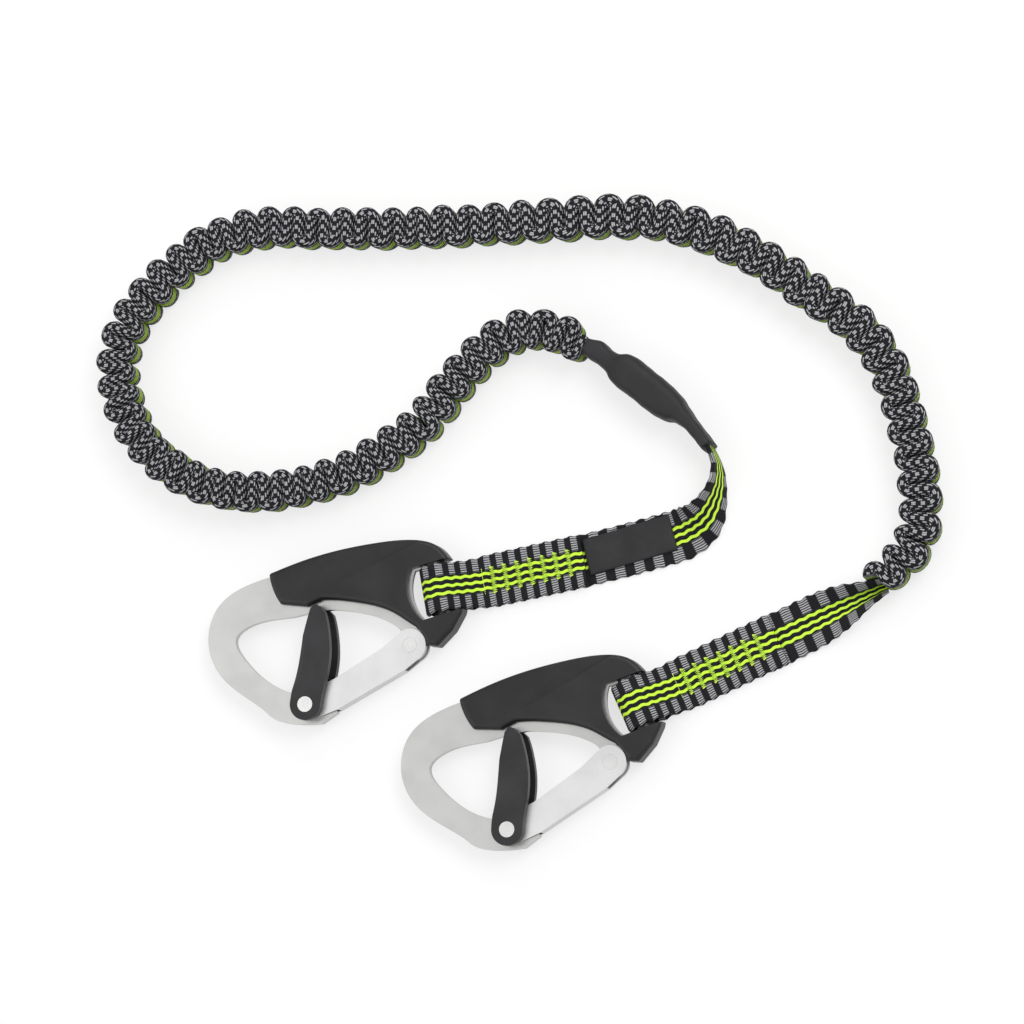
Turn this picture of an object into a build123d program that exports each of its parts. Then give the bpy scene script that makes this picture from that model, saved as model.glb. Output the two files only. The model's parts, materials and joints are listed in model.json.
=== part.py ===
from build123d import *
import math
import os

# Elasticated safety line with two double-action clips, lying on a flat surface.
# Millimetres, +Z up, the surface is z = 0. The origin is the middle, in plan, of
# everything but the elastic line, at the height of the surface.

# ---- clip: overall and shared sizes -------------------------------------------------
CLIP_MID_Z = 8.6                 # height of the clip's middle plane and of its eye bar
PLATE_T = 4.0                    # steel plate
COVER_T = 12.0                   # both cover shells together
COVER_EDGE_R = 2.4               # rounding of the cover's outer edges
COVER_CORNER_R = 1.2             # rounding of its corners in plan
CREASE_START = (-42.0, 27.0)     # shallow end of the crease in the front shell
CREASE_END = (6.0, 51.0)
CREASE_DEPTH = 2.0
CREASE_SLOPE = 9.0               # degrees of the scooped facet
CREASE_WALL = 0.8                # how far the crease's steep side leans out
PEG_R = 1.9                      # pegs of the rear shell, through the plate
PEG_GAP = 0.15
PEG_REACH = 1.4                  # how far a peg stands past the plate
PEG_SPOTS = [(-50, 27), (-22, 30), (-10, 24)]

PIVOT_SPAN = 57.4                # gate pivot to lever pivot
GATE_ANGLE = -150.6              # from the gate pivot towards the lever pivot
GATE_WALL = 1.4                  # gate's sheet
GATE_END_R = 7.9                 # round end at the gate pivot
GATE_NOSE_R = 7.4                # round end at the lever pivot
GATE_WEB_OUT = 9.2               # pivot line to the web's outer face
GATE_WEB_START = 8.0
GATE_WEB_END = PIVOT_SPAN - 11.9 # where the web stops, short of the hook's nose
NOSE_CLEAR_R = PIVOT_SPAN - 9.8  # end of the hook's nose, round the gate pivot
COVER_GATE_GAP = 0.6
RIVET_R = 3.0                    # shank of both rivets
RIVET_HEAD_R = 3.5
RIVET_HEAD_T = 0.6
RUNNING_GAP = 0.05               # radial clearance of a rivet in a moving hole
NOTCH_GAP = 0.45                 # lever rivet to the notch in the hook's nose
LUG_R = 7.2                      # plate's lug round the gate pivot

LEVER_CHEEK_T = 3.5
LEVER_WEB_T = 1.6                # wall that joins the cheeks on the thumb side
LEVER_END_R = 7.6
LEVER_LEAN = 4.9                 # the lever's rest direction, clockwise from the clip's +Y
LEVER_TOP = 48.2                 # lever pivot to the tip of the cheeks
LEVER_WEB_TOP = 39.5
LEVER_WEB_LOW = 10.5
LEVER_HEAD_R = 3.7               # peened ends of the lever rivet
LEVER_HEAD_T = 0.25
# thumb scallop: a shallow ball cut, its chord along the lever's left edge
SCALLOP_R = 51.0
SCALLOP_SPOT = (-35.2, 22.0, 39.6)

WASHER_T = 0.45
WASHER_R = 5.8
GATE_WASHER_GAP = 0.07
LEVER_WASHER_GAP = 0.15
GATE_SIDE_GAP = 0.08             # washer to the gate's inner face
LEVER_SIDE_GAP = 0.2             # washer to the lever's inner face
GATE_OUT_T = PLATE_T + 2 * (GATE_WASHER_GAP + WASHER_T + GATE_SIDE_GAP + GATE_WALL)
LEVER_OUT_T = GATE_OUT_T + 2 * (LEVER_WASHER_GAP + WASHER_T + LEVER_SIDE_GAP + LEVER_CHEEK_T)
SPRING_WIRE_R = 0.25
SPRING_COIL_R = 4.1              # mean radius of both torsion springs
SPRING_TURNS = 2
SPRING_POCKET_R = 5.4
SPRING_POCKET_T = 1.8
SPRING_GAP = 0.05
SPRING_TAIL = 1.0
GATE_LEG = 15.0                  # long legs of the two springs
LEVER_LEG = 12.0
LEG_GROOVE_W = 1.2

# ---- webbing eye --------------------------------------------------------------------
EYE_CENTRE = (13.5, 26.8)        # axis of the eye bar, from the gate pivot
EYE_ANGLE = 16.0                 # direction square to the bar, in the clip's plane
BAR_R = 5.2                      # round covered bar
BAR_CORE = 7.0                   # width of the steel inside the bar
EYE_HALF_LENGTH = 12.8
EYE_REACH = 15.1                 # bar axis to the far wall of the slot
STEEL_LIP = 0.8                  # steel seen inside the cover's opening, far from the bar
EYE_LIP = 0.1                    # the same at the slot's ends
LOOP_INNER_R = 6.4
WEBBING_T = 2.2
WEBBING_W = 25.0
LOOP_W = 22.8                    # webbing squeezed through the eye
LOOP_OUTER_R = LOOP_INNER_R + WEBBING_T

# ---- where the clips and the webbing lie --------------------------------------------
PLAN_SHIFT = (-19.67, 40.4)     # moves the chosen origin to the middle of the clips and webbing
PIVOT_A = (-45.6, -64.6)
PIVOT_B = (53.0, -120.3)
CLIP_ANGLE_A = 0.0
CLIP_ANGLE_B = 4.1
STRAP_ANGLE_A = 11.2
STRAP_ANGLE_B = 24.7
SEWN_END_A = 70.0                # eye bar to the end of the doubled webbing
SEWN_END_B = 72.0
STITCH_START = 19.0
STITCH_PITCH = 6.3
STITCH_BARS = 8
STITCH_W = 13.0
STITCH_THREAD = 1.0
STITCH_RISE = 0.4

# ---- elastic line -------------------------------------------------------------------
LINE_R = 10.7
CORE_R = 4.0
CORE_GAP = 0.3
LINE_POINTS = [
    (38.3, 76.5), (21.5, 86.2), (-0.7, 85.1), (-24.5, 64.5), (-44.0, 36.5),
    (-93.0, 11.0), (-150.0, 9.5), (-190.0, 38.0), (-202.0, 82.0), (-181.0, 114.0),
    (-140.0, 142.5), (-80.0, 137.0), (-4.0, 137.0), (64.0, 140.0), (106.5, 126.3),
    (146.0, 99.5), (180.0, 73.5), (195.0, 29.0), (201.5, -13.5), (184.0, -40.5),
]

# ---- sleeve, link and label ---------------------------------------------------------
SLEEVE_WALL = 1.2
# each section: x, y, heading, width, height
SLEEVE_SECTIONS = [
    (38.3, 76.5, -30.0, 9.5, 17.0),
    (46.5, 71.8, -34.0, 9.5, 17.0),
    (54.9, 66.0, -39.0, 15.0, 19.0),
    (77.0, 48.8, -38.0, 15.0, 19.0),
    (84.6, 42.4, -41.0, 9.0, 18.0),
    (91.0, 36.2, -48.0, 5.6, 18.0),
    (97.8, 27.4, -56.0, 5.4, 18.0),
]
LINK_SECTIONS = [
    (97.8, 27.4, -56.0, 3.4, 16.0),
    (101.6, 17.5, -78.0, 5.0, 16.0),
    (100.8, 6.0, -100.0, 7.0, 13.0),
    (95.6, -6.0, -128.0, 8.0, 8.0),
    (86.0, -11.6, -160.0, 14.0, 3.4),
    (76.0, -14.4, -165.0, 22.0, 2.6),
    (58.0, -19.2, -166.0, 25.0, 2.4),
]
LABEL_CENTRE = (58.6, -17.2)
LABEL_ANGLE = 15.4
LABEL_SIZE = (43.5, 17.4, 0.8)
LABEL_Z = 3.0
# each section of the taper: distance from the eye bar, width, height
TAPER_SECTIONS = [(86.0, 25.0, 2.4), (104.0, 19.0, 3.2), (118.0, 11.0, 6.0)]
TAPER_END = (7.0, 8.0)

os.makedirs("parts", exist_ok=True)
NODES = {}


def polar(radius, degrees):
    return (radius * math.cos(math.radians(degrees)), radius * math.sin(math.radians(degrees)))


def add(first, second):
    return (first[0] + second[0], first[1] + second[1])


def place(shape, at, degrees=0.0, z=0.0):
    """Turn a shape about its own origin and carry it to a place in the object."""
    spot = add(at, PLAN_SHIFT)
    return Location((spot[0], spot[1], z), (0, 0, degrees)) * shape


def slab(face, low, high):
    """A plan face made into a solid between two heights."""
    return Pos(0, 0, low) * extrude(face, high - low)


def disc(radius, low, high, at=(0, 0)):
    return Pos(at[0], at[1], (low + high) / 2) * Cylinder(radius, high - low)


def outline(*edges):
    return make_face(Curve() + list(edges))


# ---- clip ---------------------------------------------------------------------------
LEVER_PIVOT = polar(PIVOT_SPAN, GATE_ANGLE)


def gate_frame(shape):
    """From a frame with +X along the gate, from its pivot to the lever's, and +Y
    towards the outside of the clip."""
    return Rot(0, 0, GATE_ANGLE) * shape


def eye_frame(shape):
    """From a frame at the eye bar, with +X square to the bar and away from the hook."""
    return Location((EYE_CENTRE[0], EYE_CENTRE[1], 0), (0, 0, EYE_ANGLE)) * shape


def bow_face():
    """The hook's bow. Its nose keeps its place round the lever pivot."""
    nose = [add(LEVER_PIVOT, offset)
            for offset in ((1.0, -9.2), (6.5, -8.8), (14.0, -3.8), (13.0, 5.8), (-7.0, 5.8))]
    outer = Spline(
        (-58, 36), (-80, 31), (-97, 20), (-102, 4), (-94, -15), (-73, -30.3), nose[0],
        tangents=[(-1, -0.1), (1, 0)],
    )
    inner = Spline(
        nose[-1], (-69, -18.2), (-83, -6.4), (-88, 3.8), (-80, 10.6), (-60, 14.2), (-40, 17.6),
        tangents=[(-1, 0.15), (1, 0.1)],
    )
    tip = Polyline(*nose)
    top = Polyline((-40, 17.6), (-40, 36), (-58, 36))
    return outline(outer, tip, inner, top)


def head_face():
    strip = Spline((-41, 17.6), (-30, 16.7), (-18, 14.0), (-9.5, 10.4), (-4.5, 5.6),
                   tangents=[(1, 0), (0.35, -1)])
    rest = Polyline(
        (-4.5, 5.6), (0, 0), (13.5, 4.0), (21.5, 14.5), (19.5, 24.0), (16.5, 36.5), (9.5, 44.5),
        (-3, 46.5), (-20, 44.0), (-41, 38.5), (-41, 17.6),
    )
    return outline(strip, rest)


def eye_slot_face(bar_side, reach, half_length):
    """The slot on the hook's side of the bar: straight at the bar, arched away from it."""
    arch = ThreePointArc((-reach * 0.72, half_length), (-reach, 0), (-reach * 0.72, -half_length))
    sides = Polyline((-reach * 0.72, -half_length), (-bar_side, -half_length),
                     (-bar_side, half_length), (-reach * 0.72, half_length))
    return outline(arch, sides)


def hook_plate():
    face = hook_plate_face()
    for spot in PEG_SPOTS:
        face = face - Pos(*spot) * Circle(PEG_R + PEG_GAP)
    plate = slab(face, -PLATE_T / 2, PLATE_T / 2)
    # the nose: a curved notch for the lever rivet and an end that clears the gate's web
    notch_r = RIVET_R + NOTCH_GAP
    ring = Circle(PIVOT_SPAN + notch_r) - Circle(PIVOT_SPAN - notch_r)
    sector = Pos(*polar(PIVOT_SPAN, GATE_ANGLE - 15)) * Rot(0, 0, GATE_ANGLE - 15) * Rectangle(30, 30)
    wedge = ring & sector & (Rot(0, 0, GATE_ANGLE) * Pos(PIVOT_SPAN, -20) * Rectangle(40, 40))
    plate -= slab(wedge, -PLATE_T, PLATE_T)
    plate -= disc(notch_r, -PLATE_T, PLATE_T, LEVER_PIVOT)
    nose_area = Pos(*add(LEVER_PIVOT, (12, -2))) * Rectangle(22, 24)
    plate -= slab(Circle(NOSE_CLEAR_R) & nose_area, -PLATE_T, PLATE_T)
    # gate spring's pocket, open towards the gate
    plate -= disc(SPRING_POCKET_R, PLATE_T / 2 - SPRING_POCKET_T, PLATE_T)
    leg_way = Rot(0, 0, GATE_ANGLE - 8) * Pos(6, 1) * Rectangle(12, 10)
    plate -= slab(leg_way, PLATE_T / 2 - SPRING_POCKET_T, PLATE_T)
    plate -= disc(RIVET_R, -PLATE_T, PLATE_T)
    return plate


def cover_face():
    left = ThreePointArc((-64.8, 20.2), (-69.0, 27.2), (-71.2, 35.0))
    top = Spline((-71.2, 35.0), (-52.9, 41.7), (-35.2, 46.3), (-18.0, 49.2), (-0.8, 50.4),
                 (12.5, 47.3), (20.2, 38.6), (26.0, 26.0), (25.4, 14.6),
                 tangents=[(1, 0.4), (-0.3, -1)])
    tail = Polyline((25.4, 14.6), (21.2, 6.8), (13.9, -0.8), (9.0, -0.2), (3.0, 8.6))
    low = Spline((3.0, 8.6), (-8.1, 15.3), (-17.4, 18.8), (-28.5, 20.9), (-37.0, 21.9), (-44.0, 22.1),
                 tangents=[(-1, 0.5), (-1, 0)])
    step = Polyline((-44.0, 22.1), (-51.1, 18.9), (-64.8, 20.2))
    face = outline(left, top, tail, low, step)
    return fillet(face.vertices(), COVER_CORNER_R)


def cover_body():
    """Both shells as one piece, without the plate's pocket."""
    half = COVER_T / 2
    body = slab(cover_face(), -half, half)
    rims = body.edges().filter_by_position(Axis.Z, half - 0.01, half + 0.01)
    rims += body.edges().filter_by_position(Axis.Z, -half - 0.01, -half + 0.01)
    body = fillet(rims, COVER_EDGE_R)
    body -= disc(GATE_END_R + COVER_GATE_GAP, -half, half)
    slot = eye_slot_face(0, EYE_REACH, EYE_HALF_LENGTH)
    waist = Pos(10, 0) * Rectangle(20, 2 * EYE_HALF_LENGTH)
    body -= eye_frame(slab(slot, -half, half))
    body -= eye_frame(slab(waist, -half, half))
    bar = Rot(90, 0, 0) * Cylinder(BAR_R, 2 * EYE_HALF_LENGTH + 1.0)
    body += eye_frame(bar)
    body -= crease()
    return body


def crease():
    """The scooped facet above the crease, deepest at its upper end."""
    run = (CREASE_END[0] - CREASE_START[0], CREASE_END[1] - CREASE_START[1])
    length = math.hypot(*run)
    heading = math.degrees(math.atan2(run[1], run[0]))
    reach = CREASE_DEPTH / math.tan(math.radians(CREASE_SLOPE))
    profile = Polyline((CREASE_WALL, 1), (0, -CREASE_DEPTH), (-reach, 0), (-reach * 1.5, 1), (CREASE_WALL, 1))
    wedge = extrude(Plane.XZ * make_face(profile), -length * 1.25)
    drop = math.degrees(math.atan2(CREASE_DEPTH, length))
    top = COVER_T / 2 + CREASE_DEPTH
    at = Location((CREASE_START[0], CREASE_START[1], top), (0, 0, heading - 90))
    return at * (Rot(-drop, 0, 0) * wedge)


def cover_shells():
    half = COVER_T / 2
    body = cover_body()
    body -= slab(hook_plate_face(), -PLATE_T / 2, PLATE_T / 2)
    front = body & (Pos(0, 0, half) * Box(400, 400, COVER_T))
    rear = body - (Pos(0, 0, half) * Box(400, 400, COVER_T))
    for spot in PEG_SPOTS:
        front -= disc(PEG_R + PEG_GAP, 0, PLATE_T / 2 + PEG_REACH + PEG_GAP, spot)
        rear += disc(PEG_R, -PLATE_T / 2 - 0.5, PLATE_T / 2 + PEG_REACH, spot)
    return front, rear


def hook_plate_face():
    """The plate's outline with its eye, which the cover's pocket follows."""
    half_length = EYE_HALF_LENGTH - EYE_LIP
    slot = eye_slot_face(BAR_CORE / 2, EYE_REACH - STEEL_LIP, half_length)
    waist = Pos(BAR_CORE / 2 + 5, 0) * Rectangle(10, 2 * half_length)
    face = bow_face() + head_face() + Circle(LUG_R)
    return face - eye_frame(slot) - eye_frame(waist)


def gate():
    """Folded channel: two cheeks and a web along the clip's outside."""
    def cheek_face():
        upper = Polyline((0, -GATE_END_R), (13, -5.5), (40, -4.5), (PIVOT_SPAN - 6, -5.4),
                         (PIVOT_SPAN, -GATE_NOSE_R))
        nose = ThreePointArc((PIVOT_SPAN, -GATE_NOSE_R), (PIVOT_SPAN + GATE_NOSE_R, 0),
                             (PIVOT_SPAN, GATE_NOSE_R))
        lower = Polyline((PIVOT_SPAN, GATE_NOSE_R), (GATE_WEB_END, GATE_WEB_OUT),
                         (GATE_WEB_START, GATE_WEB_OUT), (0, GATE_END_R))
        heel = ThreePointArc((0, GATE_END_R), (-GATE_END_R, 0), (0, -GATE_END_R))
        return outline(upper, nose, lower, heel)

    half = GATE_OUT_T / 2
    body = slab(cheek_face(), -half, half)
    inner = half - GATE_WALL
    web_bottom = GATE_WEB_OUT - GATE_WALL
    hollow = Pos(PIVOT_SPAN / 2, web_bottom - 20) * Rectangle(2 * PIVOT_SPAN, 40)
    body -= slab(hollow, -inner, inner)
    nose_room = Pos(GATE_WEB_END + 20, 0) * Rectangle(40, 40)
    body -= slab(nose_room, -inner, inner)
    heel_room = Pos(GATE_WEB_START - 20, 0) * Rectangle(40, 40)
    body -= slab(heel_room, -inner, inner)
    for at in (0, PIVOT_SPAN):
        body -= disc(RIVET_R + RUNNING_GAP, -half, half, (at, 0))
    for side in (-1, 1):
        low, high = sorted((side * (half - RIVET_HEAD_T), side * (half + 1)))
        body -= disc(RIVET_HEAD_R + RUNNING_GAP, low, high)
    return gate_frame(body)


def gate_rivet():
    half = GATE_OUT_T / 2
    rivet = disc(RIVET_R, -half, half)
    for side in (-1, 1):
        low, high = sorted((side * (half - RIVET_HEAD_T + RUNNING_GAP), side * half))
        rivet += disc(RIVET_HEAD_R, low, high)
    return rivet


def ring_pair(inner_r, outer_r, from_z):
    ring = Circle(outer_r) - Circle(inner_r)
    return [slab(ring, from_z, from_z + WASHER_T), slab(ring, -from_z - WASHER_T, -from_z)]


def gate_washers():
    return ring_pair(RIVET_R + RUNNING_GAP, WASHER_R, PLATE_T / 2 + GATE_WASHER_GAP)


def lever_washers():
    rings = ring_pair(RIVET_R + RUNNING_GAP, WASHER_R, GATE_OUT_T / 2 + LEVER_WASHER_GAP)
    return [Pos(*LEVER_PIVOT) * ring for ring in rings]


def torsion_spring(base_z, leg_angle, leg_length):
    """A close coil about the pivot, with one long leg and one short tail."""
    pitch = 2 * SPRING_WIRE_R + 0.05
    height = pitch * SPRING_TURNS
    helix = Helix(pitch, height, SPRING_COIL_R)
    start = Plane(origin=helix @ 0, z_dir=helix % 0)
    coil = sweep(start * Circle(SPRING_WIRE_R), path=helix, is_frenet=True)
    coil = Pos(0, 0, base_z + SPRING_WIRE_R) * Rot(0, 0, leg_angle) * coil
    low = (SPRING_COIL_R, 0, base_z + SPRING_WIRE_R)
    high = (SPRING_COIL_R, 0, base_z + SPRING_WIRE_R + height)
    leg = Rot(0, 0, leg_angle) * (Pos(*low) * (Rot(90, 0, 0) * Pos(0, 0, leg_length / 2)
                                              * Cylinder(SPRING_WIRE_R, leg_length)))
    tail = Rot(0, 0, leg_angle) * (Pos(*high) * (Rot(0, 90, 0) * Pos(0, 0, SPRING_TAIL / 2)
                                                * Cylinder(SPRING_WIRE_R, SPRING_TAIL)))
    return coil + leg + tail


def lever_cheek_face():
    """Seen with the pivot at the origin and the lever standing along +Y."""
    left = Spline((-LEVER_END_R, 0), (-6.6, 12), (-5.4, 27), (-3.6, 40), (-2.6, 45.6),
                  tangents=[(0, 1), (0.2, 1)])
    tip = Polyline((-2.6, 45.6), (-0.6, LEVER_TOP), (1.6, LEVER_TOP - 0.8), (4.8, 44.6))
    right = Spline((4.8, 44.6), (7.9, 35), (9.6, 23.5), (8.9, 12), (LEVER_END_R, 0),
                   tangents=[(0.45, -1), (0, -1)])
    end = ThreePointArc((LEVER_END_R, 0), (0, -LEVER_END_R), (-LEVER_END_R, 0))
    return outline(left, tip, right, end)


def lever_frame(shape):
    return Location((LEVER_PIVOT[0], LEVER_PIVOT[1], 0), (0, 0, -LEVER_LEAN)) * shape


def lock_lever():
    half = LEVER_OUT_T / 2
    inner = half - LEVER_CHEEK_T
    body = slab(lever_cheek_face(), -half, half)
    # room between the cheeks, leaving the web on the thumb side
    room_face = Pos(LEVER_WEB_T, 0) * lever_cheek_face()
    beyond = Pos(20, 20) * Rectangle(40, 90)
    above = Pos(0, LEVER_WEB_TOP + 20) * Rectangle(60, 40)
    below = Pos(0, LEVER_WEB_LOW - 20) * Rectangle(60, 40)
    body -= slab(room_face + beyond + above + below, -inner, inner)
    # thumb scallop along the near left edge
    x, y, rise = SCALLOP_SPOT
    body -= Pos(x, y, half + rise) * Sphere(SCALLOP_R)
    body -= disc(RIVET_R, -half, half)
    body -= disc(SPRING_POCKET_R, 0, inner + SPRING_POCKET_T)
    groove = Pos(-SPRING_COIL_R, LEVER_LEG / 2 + 1) * Rectangle(LEG_GROOVE_W, LEVER_LEG + 2)
    body -= slab(groove, 0, inner + SPRING_POCKET_T)
    return lever_frame(body)


def lever_rivet():
    half = LEVER_OUT_T / 2
    rivet = disc(RIVET_R, -half, half)
    for side in (-1, 1):
        low, high = sorted((side * half, side * (half + LEVER_HEAD_T)))
        rivet += disc(LEVER_HEAD_R, low, high)
    return lever_frame(rivet)


def clip_pieces():
    front, rear = cover_shells()
    gate_leg = GATE_ANGLE + 90
    inner = LEVER_OUT_T / 2 - LEVER_CHEEK_T
    pieces = {
        "hook_plate": hook_plate(),
        "cover_front": front,
        "cover_rear": rear,
        "gate": gate(),
        "gate_rivet": gate_rivet(),
        "gate_washers": gate_washers(),
        "gate_spring": torsion_spring(PLATE_T / 2 - SPRING_POCKET_T + SPRING_GAP, gate_leg, GATE_LEG),
        "lock_lever": lock_lever(),
        "lever_rivet": lever_rivet(),
        "lever_washers": lever_washers(),
        "lever_spring": lever_frame(torsion_spring(inner + SPRING_GAP, 180, LEVER_LEG)),
    }
    return pieces


# ---- webbing ------------------------------------------------------------------------
def loop_solid(sewn_end):
    """Webbing round the eye bar: the bar's axis is the origin, the strap runs along +X."""
    mid = LOOP_OUTER_R
    diag = math.sqrt(0.5)
    outer_meet = mid + 2 * LOOP_OUTER_R * diag - 2 * WEBBING_T
    inner_meet = mid + 2 * LOOP_INNER_R * diag - WEBBING_T
    outer_body = make_face(Polyline(
        (0, 0), (sewn_end, 0), (sewn_end, 2 * WEBBING_T), (outer_meet, 2 * WEBBING_T),
        (LOOP_OUTER_R * diag, mid + LOOP_OUTER_R * diag), (0, mid), (0, 0)))
    inner_body = make_face(Polyline(
        (0, WEBBING_T), (inner_meet, WEBBING_T),
        (LOOP_INNER_R * diag, mid + LOOP_INNER_R * diag), (0, mid), (0, WEBBING_T)))
    side = outer_body + Pos(0, mid) * Circle(LOOP_OUTER_R)
    side = side - inner_body - Pos(0, mid) * Circle(LOOP_INNER_R)
    solid = Pos(0, WEBBING_W / 2, 0) * extrude(Plane.XZ * side, WEBBING_W)
    half_loop, half_full = LOOP_W / 2, WEBBING_W / 2
    plan = make_face(Polyline(
        (-20, -half_loop), (14, -half_loop), (24, -half_full), (sewn_end + 1, -half_full),
        (sewn_end + 1, half_full), (24, half_full), (14, half_loop), (-20, half_loop), (-20, -half_loop)))
    return solid & slab(plan, -1, 3 * LOOP_OUTER_R)


def stitching():
    bars = []
    for index in range(STITCH_BARS):
        x = STITCH_START + index * STITCH_PITCH
        z = 2 * WEBBING_T + STITCH_RISE / 2
        bars.append(Pos(x, 0, z) * Box(STITCH_THREAD, STITCH_W, STITCH_RISE))
    return bars


def section(x, y, heading, width, height, radius_share=0.3):
    """An upright rounded section across a strap that runs along a heading."""
    spot = add((x, y), PLAN_SHIFT)
    direction = polar(1, heading)
    plane = Plane(origin=(spot[0], spot[1], height / 2), x_dir=(-direction[1], direction[0], 0),
                  z_dir=(direction[0], direction[1], 0))
    return plane * RectangleRounded(width, height, radius_share * min(width, height))


def lofted(sections, shrink=0.0):
    faces = [section(x, y, heading, w - 2 * shrink, h - 2 * shrink) for x, y, heading, w, h in sections]
    if shrink:
        faces = [Pos(0, 0, shrink) * face for face in faces]
    return loft(faces, ruled=True)


def sleeve_pieces():
    outer = lofted(SLEEVE_SECTIONS)
    inner = lofted(SLEEVE_SECTIONS, SLEEVE_WALL)
    return outer - inner, inner


def taper():
    start = eye_world("b")
    sections = [(SEWN_END_B, WEBBING_W, WEBBING_T)] + TAPER_SECTIONS
    rows = []
    for distance, width, height in sections:
        x, y = add(start, polar(distance, STRAP_ANGLE_B))
        rows.append((x, y, STRAP_ANGLE_B, width, height))
    end, before = LINE_POINTS[-1], LINE_POINTS[-2]
    heading = math.degrees(math.atan2(before[1] - end[1], before[0] - end[0]))
    rows.append((end[0], end[1], heading, TAPER_END[0], TAPER_END[1]))
    return lofted(rows)


def link():
    x, y = add(eye_world("a"), polar(SEWN_END_A, STRAP_ANGLE_A))
    rows = LINK_SECTIONS + [(x, y, STRAP_ANGLE_A - 180, WEBBING_W, WEBBING_T)]
    return lofted(rows)


def label():
    spot = add(LABEL_CENTRE, PLAN_SHIFT)
    at = Location((spot[0], spot[1], LABEL_Z + LABEL_SIZE[2] / 2), (0, 0, LABEL_ANGLE))
    return at * Box(*LABEL_SIZE)


# ---- elastic line -------------------------------------------------------------------
def line_path():
    points = [add(point, PLAN_SHIFT) + (LINE_R,) for point in LINE_POINTS]
    radii = []
    for before, at, after in zip(points, points[1:], points[2:]):
        first, second = Vector(*at) - Vector(*before), Vector(*after) - Vector(*at)
        turn = math.radians(first.get_angle(second))
        radii.append(0.45 * min(first.length, second.length) / math.tan(turn / 2))
    print("line radii, mm:", " ".join(f"{radius:.0f}" for radius in radii))
    return FilletPolyline(*points, radius=radii), points


def swept(path, points, face):
    heading = Vector(*points[1]) - Vector(*points[0])
    start = Plane(origin=points[0], x_dir=(0, 0, 1), z_dir=heading)
    return sweep(start * face, path=path)


def elastic_line():
    path, points = line_path()
    bore = CORE_R + CORE_GAP
    webbing = swept(path, points, Circle(LINE_R) - Circle(bore))
    core = swept(path, points, Circle(CORE_R))
    area = math.pi * (LINE_R ** 2 - bore ** 2)
    print(f"line length {path.length:.1f} mm, volume over section times length"
          f" {webbing.volume / (area * path.length):.4f}")
    return webbing, core


# ---- assembly -----------------------------------------------------------------------
CLIPS = {"a": (PIVOT_A, CLIP_ANGLE_A), "b": (PIVOT_B, CLIP_ANGLE_B)}


def eye_world(side):
    """The eye bar's middle in plan, before PLAN_SHIFT."""
    pivot, degrees = CLIPS[side]
    radius = math.hypot(*EYE_CENTRE)
    heading = math.degrees(math.atan2(EYE_CENTRE[1], EYE_CENTRE[0])) + degrees
    return add(pivot, polar(radius, heading))


def build():
    pieces = clip_pieces()
    for side, (pivot, degrees) in CLIPS.items():
        for name, shape in pieces.items():
            solids = shape if isinstance(shape, list) else [shape]
            moved = [place(solid, pivot, degrees, CLIP_MID_Z) for solid in solids]
            NODES[f"{name}_{side}"] = moved[0] if len(moved) == 1 else Compound(children=moved)
    for side, strap_angle, sewn_end in (("a", STRAP_ANGLE_A, SEWN_END_A), ("b", STRAP_ANGLE_B, SEWN_END_B)):
        centre = eye_world(side)
        NODES[f"webbing_loop_{side}"] = place(loop_solid(sewn_end), centre, strap_angle)
        bars = [place(bar, centre, strap_angle) for bar in stitching()]
        NODES[f"stitching_{side}"] = Compound(children=bars)
    NODES["strap_b"] = taper()
    NODES["link_webbing"] = link()
    NODES["label"] = label()
    NODES["protective_sleeve"], NODES["shock_pack"] = sleeve_pieces()
    NODES["elastic_webbing"], NODES["elastic_core"] = elastic_line()


build()
for name, shape in NODES.items():
    export_step(shape, f"parts/{name}.step")
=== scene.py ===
import json
import math
import random

import bpy
import numpy as np
from mathutils import Matrix, Vector


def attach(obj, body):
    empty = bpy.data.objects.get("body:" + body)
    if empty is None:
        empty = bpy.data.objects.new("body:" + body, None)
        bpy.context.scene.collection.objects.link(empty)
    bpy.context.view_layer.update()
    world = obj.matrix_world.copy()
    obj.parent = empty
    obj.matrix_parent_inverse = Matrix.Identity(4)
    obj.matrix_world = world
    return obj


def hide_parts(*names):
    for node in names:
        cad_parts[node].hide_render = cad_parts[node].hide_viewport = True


# Looks of the elasticated safety line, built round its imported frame. Metres, unless it says mm.

MM = 0.001
UP = Vector((0, 0, 1))
PLAN_SHIFT = (-19.67, 40.4)      # mm, as in the part's source

# ---- webbing ------------------------------------------------------------------------
STRAP_W = 25.0 * MM
STRAP_T = 2.2 * MM
STRAP_STEPS = (12, 6)            # over a face, and round a selvedge
EYE_STRAP_W = 22.8 * MM          # squeezed through the eye
EYE_STRAIGHT = 14.0 * MM         # the squeeze holds this far from the eye bar
STRAP_FULL = 24.0 * MM           # and is over this far from it
SELVEDGE_BULGE = 0.42 * MM       # the selvedge swells at each grey block
SELVEDGE_PITCH = 6.2 * MM
FOLD_REACH = 0.16                # share of the width in which a fold reaches its angle
SEWN_END = {"a": 70.0 * MM, "b": 72.0 * MM}
LAYER_STEPS = 70
LOOP_R = 7.5 * MM                # middle of the webbing's thickness round the bar
LOOP_TURN = 225                  # degrees round the bar, from straight below it
LOOP_STEPS = 40
FOOT_RUN = 9 * MM                # in which the loop's upper layer bends flat
FOOT_STEPS = 16

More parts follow.
